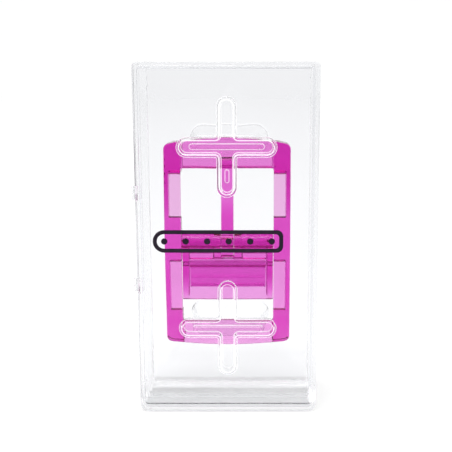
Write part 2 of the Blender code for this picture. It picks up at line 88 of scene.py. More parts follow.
LIP_RELIEF = 0.17 * MM     # taken off the lip's inner face
LIP_CORNER = 0.5 * MM
LIP_OUTER_BEVEL = (0.3 * MM, 0.35 * MM)  # across the lip and along it
LIP_INNER_BEVEL = (0.15 * MM, 0.2 * MM)

# Knuckle hinges
HINGE_X = -HALF_WIDTH - 1.1 * MM
KNUCKLE_RADIUS = 1.6 * MM
KNUCKLE_LENGTH = 6.0 * MM
KNUCKLE_SPACING = 40.2 * MM
KNUCKLE_HEIGHTS = (HEIGHT / 2 + KNUCKLE_SPACING / 2, HEIGHT / 2 - KNUCKLE_SPACING / 2)
TAB_NEAR = 1.5 * GAP       # a tab's two faces, from the parting plane
TAB_FAR = 0.8 * KNUCKLE_RADIUS
TAB_BITE = 1.2 * MM
TAB_STEP = 0.05 * MM       # that a tab is shorter than its barrel at each end
CASE_PIN_RADIUS = 0.7 * MM
CASE_PIN_CHAMFER = 0.15 * MM
CHAMFER = 0.2 * MM         # of the knuckles and the clamp's pin

# Bosses and rests
BOSS_TIP = -14.0 * MM
BOSS_ARM = 16.6 * MM       # from the middle to the centre of an arm's round end
BOSS_RADIUS = 3.75 * MM
BOSS_WALL = 1.25 * MM
BOSS_DRAFT = 0.25 * MM
BOSS_FILLET = 2.3 * MM     # inner corners of the pocket
BOSS_HEIGHTS = (114.6 * MM, 37.3 * MM)
BOSS_EDGES = (0.3 * MM, 0.35 * MM)       # fillets at the root and at the end
POCKET_EDGES = (0.35 * MM, 0.3 * MM)
REST_HALF_SPAN = 11.45 * MM
REST_RADIUS = 3.75 * MM
REST_DRAFT = 0.1
REST_EDGES = (0.7 * MM, 0.7 * MM)
REST_MOUTH_EDGES = (0.5 * MM, 0.8 * MM)
RESTS = ((115.2 * MM, -7.9 * MM), (33.7 * MM, -11.5 * MM))

# Buckle frame
BUCKLE_HALF_WIDTH = FRAME_HIGH.x
BUCKLE_TOP = FRAME_HIGH.z
BUCKLE_BOTTOM = FRAME_LOW.z
OPENING_HALF_WIDTH = 19.5 * MM
TOP_ARCH = 3.0 * MM
BOTTOM_ARCH = 1.8 * MM
BUCKLE_CORNER = 2.4 * MM
END_FRONT = -13.7 * MM
BOW = END_FRONT - FRAME_LOW.y
BOW_LOW = 41.5 * MM
BOW_HIGH = 110.5 * MM
TOP_CORNER_BACK = -5.7 * MM
BLOCK_BACK = -10.2 * MM
BOTTOM_CORNER_BACK = -7.4 * MM
TOP_CORNER_Z = 103.4 * MM
BLOCK_HIGH = 84.6 * MM
BLOCK_LOW = 65.9 * MM
BOTTOM_CORNER_Z = 43.7 * MM
HIGH_WINDOW_SKIN = 1.4 * MM
LOW_WINDOW_SKIN = 2.6 * MM
RAIL_SIDE_WALL = 1.6 * MM
TOP_BAR_LOW = 104.8 * MM
TOP_BAR_LEAN = 4.3 * MM
TOP_BAR_SLOPE = TOP_BAR_LEAN / (BUCKLE_TOP - TOP_BAR_LOW)
TOP_BAR_THICK = 3.3 * MM
TOP_BAR_LIP = 0.9 * MM
TOP_BAR_LIP_BACK = FRAME_HIGH.y
BOTTOM_BAR_HIGH = 39.6 * MM
BOTTOM_BAR_THICK = 2.1 * MM
BOTTOM_BAR_STEP = 0.03 * MM              # from the plane of the rails' ends

# Pins, prong, clamp and lever
AXIS_Y = (PIN_LOW.y + PIN_HIGH.y) / 2
AXIS_Z = (PIN_LOW.z + PIN_HIGH.z) / 2
PIN_RADIUS = (PIN_HIGH.z - PIN_LOW.z) / 2
PRONG_HALF_WIDTH = PRONG_HIGH.x
PRONG_EYE = 4.3 * MM
EYE_STEP = 0.1 * MM        # that the eye is narrower on each side
PRONG_HEEL = AXIS_Z - PRONG_LOW.z
PRONG_HEEL_BACK = -10.2 * MM
PRONG_TIP_Z = PRONG_HIGH.z
PRONG_ROOT_FRONT = -15.4 * MM
PRONG_TIP_FRONT = -13.65 * MM
PRONG_BACK = -9.6 * MM
PRONG_STEP_LOW = 85.0 * MM
PRONG_STEP_HIGH = 92.6 * MM
PRONG_TIP_FRONT_BEVEL = 1.2 * MM
PRONG_TIP_BACK_BEVEL = 1.0 * MM
PRONG_TIP_HALF_FLAT = 0.4 * MM
PRONG_BACK_SLOPE = 2.0 * MM
PRONG_VOXEL = 0.2 * MM
CLAMP_HALF_WIDTH = CLAMP_HIGH.x + GAP / 2
BARREL_RADIUS = CLAMP_HIGH.z - AXIS_Z
SLOT_WIDTH = 2 * PRONG_HALF_WIDTH + GAP
SLOT_BOTTOM = 67.2 * MM
SLOT_CORNER = 1.0 * MM
WEB_BOTTOM = 66.4 * MM
WEB_BACK = -9.6 * MM
WEB_MIDDLE_HALF_WIDTH = 6.0 * MM
WEB_MIDDLE_BACK = -8.0 * MM
CLAMP_BOTTOM = CLAMP_LOW.z
CLAMP_PLATE_FRONT = -13.6 * MM
CLAMP_PLATE_THICK = 2.2 * MM
CHEEK_INNER = 16.8 * MM
CHEEK_BACK = CLAMP_HIGH.y
CHEEK_BEVEL = (2.0 * MM, 4.0 * MM)
CHEEK_FOOT = 4.0 * MM
LEVER_HALF_WIDTH = LEVER_HIGH.x
LEVER_AXIS_Y = (LEVER_PIN_LOW.y + LEVER_PIN_HIGH.y) / 2
LEVER_AXIS_Z = (LEVER_PIN_LOW.z + LEVER_PIN_HIGH.z) / 2
LEVER_PIN_RADIUS = (LEVER_PIN_HIGH.z - LEVER_PIN_LOW.z) / 2
LEVER_BOSS = 2.1 * MM
LEVER_FRONT = -10.0 * MM
LEVER_BACK = -7.0 * MM
LEVER_BOTTOM = LEVER_LOW.z
TOOTH_HEIGHTS = (58.7 * MM, 55.2 * MM)
TOOTH_RISE = 1.2 * MM
TOOTH_HALF_BASE = 0.8 * MM
LEVER_VOXEL = 0.25 * MM

# Ribs in the boss pockets
RIB_HALF_SPAN = 14.4 * MM
RIB_HALF_WIDTHS = (1.3 * MM, 0.5 * MM)
STUB_HALF_SPAN = 1.9 * MM
STUB_HALF_WIDTH = 0.95 * MM
STUB_DROP = 12.3 * MM      # of the stub's middle below its pocket's
# A rib's side from root to top: how much wider it is there, and how far it has risen
RIB_SIDE = ((0.1 * MM, 0.0), (0.0, 0.3 * MM), (-0.1 * MM, 0.5 * MM), (-0.3 * MM, 0.6 * MM))

# Print on the cover
FACE = FRONT + 0.06 * MM   # the cover's front face, behind the thickness of its print
PRINT_SINK = 0.01 * MM
PRINT_FILM = 0.045 * MM
PRINT_STROKE = 1.7 * MM
STRAP_LEFT, STRAP_RIGHT = -31.0 * MM, 23.4 * MM
STRAP_LOW, STRAP_HIGH = 70.7 * MM, 80.3 * MM
STRAP_CORNER = 2.6 * MM
STRAP_CORNER_LOSS = 0.6    # of the corner's radius for each unit of inset
STRAP_HOLES = 6
STRAP_HOLE_RADIUS = 1.35 * MM

# Places in the list of a case piece's materials
PLAIN = 0
ACCENT = 1                 # the cover's boss fillets and ribs, whitened and glowing as a painted highlight, and the tray's hazed base
FACING_UP = 0.9            # least upward part of the normal of a face that counts as level

# Mesh work
PAST = 4.0 * MM            # how far a cutter passes what it cuts
BITE = 0.6 * MM            # how far joined solids overlap
NUDGE = 0.02 * MM          # parts faces that would lie in one plane
VOXEL = 0.3 * MM
WELD = 0.003 * MM
SLIVER = 0.001 * MM
SHARP = 50                 # degrees between faces that meet in a crisp edge

# Plastics
BUCKLE_INDEX = 1.49
CASE_INDEX = 1.32
MAGENTA = (0.903, 0.022, 0.80)
MAGENTA_DENSITY = 450.0
NEUTRAL_SURFACE = (0.99, 0.975, 0.985)
FRAME_SURFACE = (0.98, 0.955, 0.955)
COOL_GREYS = ((0.987, 0.99, 1.0), (1.007, 1.01, 1.02))
CASE_SHADE = 0.965
CASE_POLISH = 0.01

# Levels of the stage
UNIT = (0.0, 1.0)          # the range of a share
FLOOR_GLOW = 0.6
FLOOR_PAPER = 0.47
SKY_LEVEL = 1.01
FADE_LEVEL = 0.94          # what distance leaves of the floor's light
MIRRORED_LEVEL = 0.12      # what is left of mirrored light from the front

# Places on the stage, in metres
FLOOR_REACH = 3.0          # half the side of the table
FLOOR_DROP = 0.0002
FADE_START = 0.7
FLOOR_FRONT = (-0.08, -0.16)
SKY_FRONT = (-0.5, -0.85)  # of a unit sphere
SOFTBOX_PLACE = (-0.12, -0.15, 0.7)
SOFTBOX_AIM = (0.0, 0.05, 0.05)
CAMERA_PLACE = Vector((11.6, -357.5, 149.0)) * MM
CAMERA_TILT = 11.2         # degrees downwards


# ------------------------------------------------------------------------------ materials

def node_material(name):
    """A material with a Principled shader: gives back it, its tree, the shader and the output."""
    material = bpy.data.materials.new(name)
    material.use_nodes = True
    tree = material.node_tree
    tree.nodes.clear()
    output = tree.nodes.new('ShaderNodeOutputMaterial')
    shader = tree.nodes.new('ShaderNodeBsdfPrincipled')
    tree.links.new(shader.outputs['BSDF'], output.inputs['Surface'])
    return material, tree, shader, output


def noise(tree, scale, detail=3.0, roughness=0.55, stretch=None):
    """A noise texture in object space, stretched along the axes if asked."""
    position = tree.nodes.new('ShaderNodeTexCoord').outputs['Object']
    if stretch:
        mapping = tree.nodes.new('ShaderNodeMapping')
        mapping.inputs['Scale'].default_value = stretch
        tree.links.new(position, mapping.inputs['Vector'])
        position = mapping.outputs['Vector']
    texture = tree.nodes.new('ShaderNodeTexNoise')
    texture.inputs['Scale'].default_value = scale
    texture.inputs['Detail'].default_value = detail
    texture.inputs['Roughness'].default_value = roughness
    tree.links.new(position, texture.inputs['Vector'])
    return texture.outputs['Fac']


def remap(tree, value, source, target):
    """Maps one range of a value onto another, and holds it at the ends."""
    node = tree.nodes.new('ShaderNodeMapRange')
    for side, (low, high) in (('From', source), ('To', target)):
        node.inputs[f"{side} Min"].default_value = low
        node.inputs[f"{side} Max"].default_value = high
    tree.links.new(value, node.inputs['Value'])
    return node.outputs['Result']


def combined(tree, first, second, operation):
    node = tree.nodes.new('ShaderNodeMath')
    node.operation = operation
    tree.links.new(first, node.inputs[0])
    tree.links.new(second, node.inputs[1])
    return node.outputs[0]


def add_roughness(tree, shader, worn, scratches):
    """Roughness that drifts with wear, plus the scratches on top of it."""
    tree.links.new(combined(tree, worn, scratches, 'ADD'), shader.inputs['Roughness'])


def add_tone(tree, shader, value, first, second):
    """Base colour that drifts between two shades."""
    ramp = tree.nodes.new('ShaderNodeValToRGB')
    ramp.color_ramp.elements[0].color = (*first, 1.0)
    ramp.color_ramp.elements[1].color = (*second, 1.0)
    tree.links.new(value, ramp.inputs['Fac'])
    tree.links.new(ramp.outputs['Color'], shader.inputs['Base Color'])


def add_bump(tree, shader, height, strength, distance):
    bump = tree.nodes.new('ShaderNodeBump')
    bump.inputs['Strength'].default_value = strength
    bump.inputs['Distance'].default_value = distance
    tree.links.new(height, bump.inputs['Height'])
    tree.links.new(bump.outputs['Normal'], shader.inputs['Normal'])


def absorb(tree, output, colour, density):
    volume = tree.nodes.new('ShaderNodeVolumeAbsorption')
    volume.inputs['Color'].default_value = (*colour, 1.0)
    volume.inputs['Density'].default_value = density
    tree.links.new(volume.outputs['Volume'], output.inputs['Volume'])


def tinted_plastic(name, polish, surface=NEUTRAL_SURFACE):
    """Clear magenta plastic: depth of colour from absorption, with flow marks and smudges."""
    material, tree, shader, output = node_material(name)
    shader.inputs['Transmission Weight'].default_value = 1.0
    shader.inputs['IOR'].default_value = BUCKLE_INDEX
    smears = noise(tree, scale=90.0, detail=4.0)
    lines = noise(tree, scale=260.0, detail=5.0, roughness=0.7, stretch=(1.0, 1.0, 0.12))
    add_roughness(tree, shader, remap(tree, smears, (0.35, 0.7), (polish, polish * 2.2)),
                  remap(tree, lines, (0.58, 0.7), (0.0, 0.10)))
    flow = noise(tree, scale=60.0, detail=2.0, roughness=0.4, stretch=(1.0, 1.0, 0.25))
    add_tone(tree, shader, flow, [tone * 0.97 for tone in surface], surface)
    add_bump(tree, shader, flow, strength=0.08, distance=0.2 * MM)
    absorb(tree, output, MAGENTA, MAGENTA_DENSITY)
    return material


def clear_plastic(name, shade, polish, transmission=1.0, painted_glow=0.0):
    """Clear rigid plastic with a faint grey cast, uneven haze and hairline scuffs.

    polish is its least roughness, and the glow is painted: white emission that stands in for
    the light a thick clear moulding reflects and pipes to its edges.
    """
    material, tree, shader, _ = node_material(name)
    shader.inputs['Transmission Weight'].default_value = transmission
    # Painted glow: white emission in place of the light reflected and piped to the edges.
    shader.inputs['Emission Color'].default_value = (1.0, 1.0, 1.0, 1.0)
    shader.inputs['Emission Strength'].default_value = painted_glow
    shader.inputs['IOR'].default_value = CASE_INDEX
    clouds = noise(tree, scale=35.0)
    dark, light = [[shade * tone for tone in grey] for grey in COOL_GREYS]
    add_tone(tree, shader, clouds, dark, light)
    lines = noise(tree, scale=150.0, detail=6.0, roughness=0.75, stretch=(1.0, 1.0, 0.06))
    add_roughness(tree, shader, remap(tree, clouds, (0.3, 0.75), (polish, polish * 2.5)),
                  remap(tree, lines, (0.62, 0.75), (0.0, 0.02)))
    return material


def ink(name):
    """Dark screen-printed ink with a slightly uneven film."""
    material, tree, shader, _ = node_material(name)
    patches = noise(tree, scale=400.0, detail=4.0)
    add_tone(tree, shader, patches, (0.010, 0.004, 0.014), (0.022, 0.010, 0.030))
    tree.links.new(remap(tree, patches, (0.3, 0.7), (0.32, 0.5)), shader.inputs['Roughness'])
    return material


# -------------------------------------------------------------------------- mesh building

def arc(centre, radius, start, end, steps):
    """Points on an arc, with the angles in degrees."""
    return [(centre[0] + radius * math.cos(math.radians(start + (end - start) * i / steps)),
             centre[1] + radius * math.sin(math.radians(start + (end - start) * i / steps)))
            for i in range(steps + 1)]


def rounded_rectangle(left, right, low, high, low_radius, high_radius, steps=8):
    """An outline (x, z), anticlockwise seen from the front, starting at the lower right."""
    return (arc((right - low_radius, low + low_radius), low_radius, -90, 0, steps)
            + arc((right - high_radius, high - high_radius), high_radius, 0, 90, steps)
            + arc((left + high_radius, high - high_radius), high_radius, 90, 180, steps)
            + arc((left + low_radius, low + low_radius), low_radius, 180, 270, steps))


def case_outline(inset):
    """The case's outline, moved in by the inset."""
    return rounded_rectangle(-HALF_WIDTH + inset, HALF_WIDTH - inset, inset, HEIGHT - inset,
                             max(LOW_CORNER - inset, LEAST_CORNER),
                             max(HIGH_CORNER - inset, LEAST_CORNER))


def round_ended_outline(half_span, radius, z, steps=16):
    return (arc((half_span, z), radius, -90, 90, steps)
            + arc((-half_span, z), radius, 90, 270, steps))


def plus_outline(radius, fillet, z, steps=12):
    """A plus with round ends, whose four inner corners are rounded too."""
    outline = []
    for quarter in range(4):
        turn = Matrix.Rotation(math.radians(90 * quarter), 2)
        corner = radius + fillet
        points = (arc((BOSS_ARM, 0.0), radius, -90, 90, steps)
                  + arc((corner, corner), fillet, 270, 180, 5))
        for point in points:
            x, up = turn @ Vector(point)
            outline.append((x, z + up))
    return outline


def add_ring(builder, outline, y):
    return [builder.verts.new((x, y, z)) for x, z in outline]


def bridge(builder, first, second, material=PLAIN):
    """Quads between two rings with the same number of points."""
    count = len(first)
    for i in range(count):
        j = (i + 1) % count
        face = builder.faces.new((first[i], first[j], second[j], second[i]))
        face.material_index = material


def loft(builder, rings, material=PLAIN):
    """Bridges a list of (outline, y) and gives back the first and the last ring."""
    made = [add_ring(builder, outline, y) for outline, y in rings]
    for first, second in zip(made, made[1:]):
        bridge(builder, first, second, material)
    return made[0], made[-1]


def ring_edges(ring):
    edges = []
    for i, vert in enumerate(ring):
        after = ring[(i + 1) % len(ring)]
        edges.append(next(edge for edge in vert.link_edges if edge.other_vert(vert) is after))
    return edges


def fill(builder, *rings):
    """Fills the flat area inside the first ring and outside the others."""
    edges = [edge for ring in rings for edge in ring_edges(ring)]
    bmesh.ops.triangle_fill(builder, use_beauty=True, use_dissolve=False, edges=edges)


def quarter_steps(count=4):
    """Fractions along and across a quarter round."""
    return [(math.sin(math.radians(90 * i / count)), 1 - math.cos(math.radians(90 * i / count)))
            for i in range(count + 1)]


def as_object(name, builder, sharp=SHARP):
    """A smooth-shaded object from a bmesh, with faces pointing out."""
    bmesh.ops.recalc_face_normals(builder, faces=builder.faces)
    if builder.calc_volume(signed=True) < 0:
        bmesh.ops.reverse_faces(builder, faces=builder.faces)
    mesh = bpy.data.meshes.new(name)
    builder.to_mesh(mesh)
    builder.free()
    mesh.shade_smooth()
    mesh.set_sharp_from_angle(angle=math.radians(sharp))
    thing = bpy.data.objects.new(name, mesh)
    bpy.context.scene.collection.objects.link(thing)
    return thing


def box(name, low, high):
    builder = bmesh.new()
    bmesh.ops.create_cube(builder, size=1.0)
    for vert in builder.verts:
        vert.co = [low[i] + (vert.co[i] + 0.5) * (high[i] - low[i]) for i in range(3)]
    return as_object(name, builder)


def rod(name, radius, start, end, segments=48, chamfer=0.0):
    """A cylinder between two points, with its end edges rounded if asked."""
    start, end = Vector(start), Vector(end)
    along = end - start
    turn = along.to_track_quat('Z', 'Y').to_matrix().to_4x4()
    builder = bmesh.new()
    bmesh.ops.create_cone(builder, cap_ends=True, segments=segments, radius1=radius,
                          radius2=radius, depth=along.length,
                          matrix=Matrix.Translation((start + end) / 2) @ turn)
    if chamfer:
        rims = [edge for edge in builder.edges
                if any(len(face.verts) == segments for face in edge.link_faces)]
        bmesh.ops.bevel(builder, geom=rims, offset=chamfer, segments=3, profile=0.5,
                        affect='EDGES')
    return as_object(name, builder)


def extrude_outline(name, outline, plane, low, high):
    """A solid from a flat outline (y, z) along X, or (x, z) along Y."""
    builder = bmesh.new()
    if plane == 'YZ':
        rings = [[builder.verts.new((x, u, v)) for u, v in outline] for x in (low, high)]
    else:
        rings = [[builder.verts.new((u, y, v)) for u, v in outline] for y in (low, high)]
    bridge(builder, *rings)
    for ring in rings:
        fill(builder, ring)
    return as_object(name, builder)


def bake_down(thing):
    """Replaces an object's mesh by its evaluated one and drops its modifiers."""
    seen = bpy.context.evaluated_depsgraph_get()
    mesh = bpy.data.meshes.new_from_object(thing.evaluated_get(seen))
    thing.modifiers.clear()
    old = thing.data
    thing.data = mesh
    bpy.data.meshes.remove(old)


def boolean(target, other, operation):
    """Applies an exact Boolean with another solid, which is used up."""
    modifier = target.modifiers.new("boolean", 'BOOLEAN')
    modifier.operation = operation
    modifier.solver = 'EXACT'
    modifier.object = other
    bake_down(target)
    bpy.data.objects.remove(other, do_unlink=True)


def join(target, *others):
    for other in others:
        boolean(target, other, 'UNION')


def cut(target, *others):
    for other in others:
        boolean(target, other, 'DIFFERENCE')


def mend(thing):
    """Welds the hairline slits that a Boolean leaves in tight corners."""
    builder = bmesh.new()
    builder.from_mesh(thing.data)
    bmesh.ops.remove_doubles(builder, verts=builder.verts, dist=WELD)
    bmesh.ops.dissolve_degenerate(builder, edges=builder.edges, dist=SLIVER)
    open_edges = [edge for edge in builder.edges if edge.is_boundary]
    bmesh.ops.holes_fill(builder, edges=open_edges, sides=8)
    bmesh.ops.recalc_face_normals(builder, faces=builder.faces)
    builder.to_mesh(thing.data)
    builder.free()


def mould(thing, voxel=VOXEL):
    """Turns a crisp solid into a moulded one, with every edge and inner corner softened."""
    remesh = thing.modifiers.new("skin", 'REMESH')
    remesh.mode = 'VOXEL'
    remesh.voxel_size = voxel
    remesh.adaptivity = 0.0
    soften = thing.modifiers.new("soften", 'SMOOTH')
    soften.factor = 0.5
    soften.iterations = 6
    bake_down(thing)
    lighten = thing.modifiers.new("lighten", 'DECIMATE')
    lighten.decimate_type = 'COLLAPSE'
    lighten.ratio = 0.35
    bake_down(thing)
    thing.data.shade_smooth()


def dress(thing, materials, body, slot, *nodes):
    """Gives a piece its materials and body, and hides the CAD nodes it stands for; slot is not
    used.
    """
    for material in materials:
        thing.data.materials.append(material)
    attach(thing, body)
    if nodes:
        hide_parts(*nodes)


# ---------------------------------------------------------------------------- display case

def relief(builder, outline_at, root, end, spread, fillets, material, *islands):
    """Makes a post or pocket from its root plane to its end plane. Gives back its root ring.

    outline_at(offset) gives its outline, spread is how much wider it is at the root, fillets
    are the radii at the root and at the end, material is the one on the fillets, and islands
    are the root rings of what rises from the end.
    """
    way = 1.0 if end > root else -1.0
    root_fillet, end_fillet = fillets
    root_rings = [(outline_at(spread + root_fillet * (1 - across)),
                   root + way * root_fillet * back) for across, back in quarter_steps()]
    end_rings = [(outline_at(-end_fillet * back), end - way * end_fillet * (1 - across))
                 for across, back in quarter_steps()]
    first, wall_start = loft(builder, root_rings, material)
    wall_end, last = loft(builder, end_rings, material)
    bridge(builder, wall_start, wall_end)
    fill(builder, last, *islands)
    return first


def round_rib(builder, half_span, half_width, z, floor, upright=False):
    """A low round-ended rib on a pocket's floor, along X or upright. Gives back its root ring."""
    def outline(draft):
        points = round_ended_outline(half_span, half_width + draft, 0.0, 8)
        if upright:
            points = [(-across, along) for along, across in points]
        return [(x, z + up) for x, up in points]

    root, top = loft(builder, [(outline(draft), floor - rise) for draft, rise in RIB_SIDE], ACCENT)
    fill(builder, top)
    return root


def make_tray(materials):
    """The deep shell, with two hollow rests on its back wall."""
    builder = bmesh.new()
    outside = [(case_outline(RIM_CHAMFER), PARTING), (case_outline(0.0), PARTING + RIM_CHAMFER)]
    outside += [(case_outline(SOFT_EDGE * away), BACK - SOFT_EDGE * (1 - on))
                for on, away in quarter_steps()]
    rim_out, back_ring = loft(builder, outside)
    inside = [(case_outline(WALL - RIM_CHAMFER), PARTING),
              (case_outline(WALL), PARTING + RIM_CHAMFER)]
    inside += [(case_outline(WALL + INNER_FILLET * away), BACK - WALL - INNER_FILLET * (1 - on))
               for on, away in quarter_steps()]
    rim_in, wall_ring = loft(builder, inside)
    bridge(builder, rim_out, rim_in)
    mouths, roots = [], []
    wall = BACK - WALL
    for z, tip in RESTS:
        floor = tip + WALL

        def core_at(offset, z=z):
            return round_ended_outline(REST_HALF_SPAN, REST_RADIUS - WALL + offset, z)

        def post_at(offset, z=z):
            return round_ended_outline(REST_HALF_SPAN, REST_RADIUS + offset, z)

        mouths.append(relief(builder, core_at, BACK, floor, REST_DRAFT * (BACK - floor),
                             REST_MOUTH_EDGES, PLAIN))
        roots.append(relief(builder, post_at, wall, tip, REST_DRAFT * (wall - tip),
                            REST_EDGES, PLAIN))
    fill(builder, back_ring, *mouths)
    fill(builder, wall_ring, *roots)
    tray = as_object("tray_shell", builder)
    for face in tray.data.polygons:
        if face.normal.z > FACING_UP and face.center.z < 2 * WALL:
            face.material_index = ACCENT
    add_knuckles(tray, 1)
    dress(tray, materials, "case", "case_clear", "case_tray")


def cover_section(inset_left, inset, radius):
    """An outline inside the cover, whose upper corners are tighter than its lower ones."""
    return rounded_rectangle(-HALF_WIDTH + inset_left, HALF_WIDTH - inset, inset,
                             HEIGHT - inset, radius,
                             max(radius * HIGH_SHARE, LEAST_HIGH_CORNER))


def make_cover(materials):
    """The shallow shell, with a thick rim, a lip and two plus-shaped bosses pressed inwards."""
    builder = bmesh.new()
    outside = [(case_outline(RIM_CHAMFER), RIM), (case_outline(0.0), RIM - RIM_CHAMFER)]
    outside += [(case_outline(SOFT_EDGE * away), FACE + SOFT_EDGE * (1 - on))
                for on, away in quarter_steps()]
    rim_out, front_ring = loft(builder, outside)
    dish = FRONT + WALL
    band_start = RIM - RIM_BAND
    side = WALL + GAP
    inner = side + LIP_WALL
    inside = [(cover_section(side - BAND_ROUND, inner - BAND_ROUND, BAND_CORNER + BAND_ROUND), RIM),
              (cover_section(side, inner, BAND_CORNER), RIM - BAND_ROUND),
              (cover_section(side, inner, BAND_CORNER), band_start + BAND_SLOPE),
              (cover_section(side - BAND_SLOPE / 2, inner - BAND_SLOPE,
                             BAND_CORNER + BAND_SLOPE), band_start),
              (cover_section(WALL, WALL, LOW_CORNER - WALL), band_start - BAND_ROUND)]
    for on, away in quarter_steps():
        inset = WALL + DISH_FILLET * away
        inside.append((cover_section(inset, inset, LOW_CORNER - WALL - DISH_CORNER_LOSS * away),
                       dish + DISH_FILLET * (1 - on)))
    rim_in, dish_ring = loft(builder, inside)
    fill(builder, rim_out, rim_in)
    mouths, roots = [], []
    for z, rib_half_width in zip(BOSS_HEIGHTS, RIB_HALF_WIDTHS):

        def pocket_at(offset, z=z):
            return plus_outline(BOSS_RADIUS - BOSS_WALL + offset, BOSS_FILLET - offset, z)

        def boss_at(offset, z=z):
            return plus_outline(BOSS_RADIUS + offset, BOSS_FILLET - BOSS_WALL - offset, z)

        floor = BOSS_TIP - BOSS_WALL
        ribs = [round_rib(builder, RIB_HALF_SPAN, rib_half_width, z, floor)]
        if z == max(BOSS_HEIGHTS):
            ribs.append(round_rib(builder, STUB_HALF_SPAN, STUB_HALF_WIDTH, z - STUB_DROP,
                                  floor, upright=True))
        mouths.append(relief(builder, pocket_at, FACE, floor, BOSS_DRAFT, POCKET_EDGES,
                             ACCENT, *ribs))
        roots.append(relief(builder, boss_at, dish, BOSS_TIP, BOSS_DRAFT, BOSS_EDGES, ACCENT))
    fill(builder, front_ring, *mouths)
    fill(builder, dish_ring, *roots)
    cover = as_object("cover_shell", builder)
    join(cover, make_lip())
    mend(cover)
    add_knuckles(cover, -1)
    mend(cover)
    dress(cover, materials, "cover", "cover_clear", "case_cover")


def make_lip():
    """The lip along the bottom, the right and the top of the cover's rim."""
    outset = WALL + GAP
    inset = outset + LIP_WALL - LIP_RELIEF
    builder = bmesh.new()
    root = RIM - LIP_ROOT

    def path(away):
        """The U that the lip follows, at a distance inside the case's outer faces."""
        radius = max(LOW_CORNER - away, LIP_CORNER)
        return ([(LIP_LEFT_END, away)]
                + arc((HALF_WIDTH - away - radius, away + radius), radius, -90, 0, 8)
                + arc((HALF_WIDTH - away - LIP_CORNER, HEIGHT - away - LIP_CORNER),
                      LIP_CORNER, 0, 90, 8)
                + [(LIP_LEFT_END, HEIGHT - away)])

    section = [(outset, root), (outset, LIP_END - LIP_OUTER_BEVEL[1]),
               (outset + LIP_OUTER_BEVEL[0], LIP_END), (inset - LIP_INNER_BEVEL[0], LIP_END),
               (inset, LIP_END - LIP_INNER_BEVEL[1]), (inset, root)]
    rows = [[builder.verts.new((x, y, z)) for x, z in path(away)] for away, y in section]
    count = len(rows[0])
    for first, second in zip(rows, rows[1:] + rows[:1]):
        for i in range(count - 1):
            builder.faces.new((first[i], first[i + 1], second[i + 1], second[i]))
    for i in (0, count - 1):
        builder.faces.new([row[i] for row in rows])
    return as_object("cover_lip", builder, sharp=40)


def add_knuckles(wall, side):
    """The wall's halves of both hinges, with room for the other halves and pin holes."""
    half = KNUCKLE_LENGTH / 2
    near, far = sorted((PARTING + side * TAB_NEAR, PARTING + side * TAB_FAR))
    for middle in KNUCKLE_HEIGHTS:
        low, high = sorted((middle + side * GAP / 2, middle + side * half))
        room = rod("room", KNUCKLE_RADIUS + GAP, (HINGE_X, PARTING, middle - half - GAP),
                   (HINGE_X, PARTING, middle + half + GAP), segments=32)
        barrel = rod("knuckle", KNUCKLE_RADIUS, (HINGE_X, PARTING, low),
                     (HINGE_X, PARTING, high), segments=32, chamfer=CHAMFER)
        tab = box("tab", (HINGE_X, near, low + TAB_STEP),
                  (-HALF_WIDTH + TAB_BITE, far, high - TAB_STEP))
        hole = rod("hole", CASE_PIN_RADIUS + GAP, (HINGE_X, PARTING, low - GAP),
                   (HINGE_X, PARTING, high + GAP), segments=24)
        cut(wall, room)
        join(barrel, tab)
        join(wall, barrel)
        cut(wall, hole)
    wall.data.set_sharp_from_angle(angle=math.radians(SHARP))


def make_case_pins(material):
    half = KNUCKLE_LENGTH / 2 - GAP
    for name, z in zip(("upper", "lower"), KNUCKLE_HEIGHTS):
        pin = rod(f"hinge_pin_{name}", CASE_PIN_RADIUS, (HINGE_X, PARTING, z - half),
                  (HINGE_X, PARTING, z + half), segments=32, chamfer=CASE_PIN_CHAMFER)
        dress(pin, [material], "case", "case_pin", f"case_hinge_pin_{name}")


# --------------------------------------------------------------------------------- buckle

def bow_front(offset, low, high, steps=24):
    """Points (y, z) up the bowed front of the rails, moved back by the offset."""
    half = (BOW_HIGH - BOW_LOW) / 2
    middle = (BOW_HIGH + BOW_LOW) / 2
    points = []
    for i in range(steps + 1):
        z = low + (high - low) * i / steps
        rise = max(0.0, 1.0 - ((z - middle) / half) ** 2)
        points.append((END_FRONT - BOW * rise + offset, z))
    return points


def buckle_outline():
    """The buckle's outer outline (x, z), with arched ends and round corners."""
    outline = []
    for sign, end, arch in ((1, BUCKLE_TOP, TOP_ARCH), (-1, BUCKLE_BOTTOM, BOTTOM_ARCH)):
        radius = (BUCKLE_HALF_WIDTH ** 2 + arch ** 2) / (2 * arch)
        centre = end - sign * radius
        straight = BUCKLE_HALF_WIDTH - BUCKLE_CORNER
        corner_z = centre + sign * math.sqrt((radius - BUCKLE_CORNER) ** 2 - straight ** 2)
        swing = math.degrees(math.asin(straight / (radius - BUCKLE_CORNER)))
        upright = 90.0 * sign
        outline += arc((sign * straight, corner_z), BUCKLE_CORNER,
                       upright - 90.0, upright - swing, 8)
        outline += arc((0.0, centre), radius, upright - swing, upright + swing, 28)[1:-1]
        outline += arc((-sign * straight, corner_z), BUCKLE_CORNER,
                       upright + swing, upright + 90.0, 8)
    return outline


def rail(side):
    """One side of the buckle, bowed in front, before its ends are cut to the outline."""
    low, high = BUCKLE_BOTTOM - BITE, BUCKLE_TOP + BITE
    front = [(END_FRONT, low)] + bow_front(0.0, BOW_LOW, BOW_HIGH, 32) + [(END_FRONT, high)]
    back = [(TOP_CORNER_BACK, high), (TOP_CORNER_BACK, TOP_CORNER_Z),
            (BLOCK_BACK, BLOCK_HIGH), (BLOCK_BACK, BLOCK_LOW),
            (BOTTOM_CORNER_BACK, BOTTOM_CORNER_Z), (BOTTOM_CORNER_BACK, low)]
    inner, outer = sorted((side * OPENING_HALF_WIDTH, side * (BUCKLE_HALF_WIDTH + BITE)))
    return extrude_outline("rail", front + back, 'YZ', inner, outer)


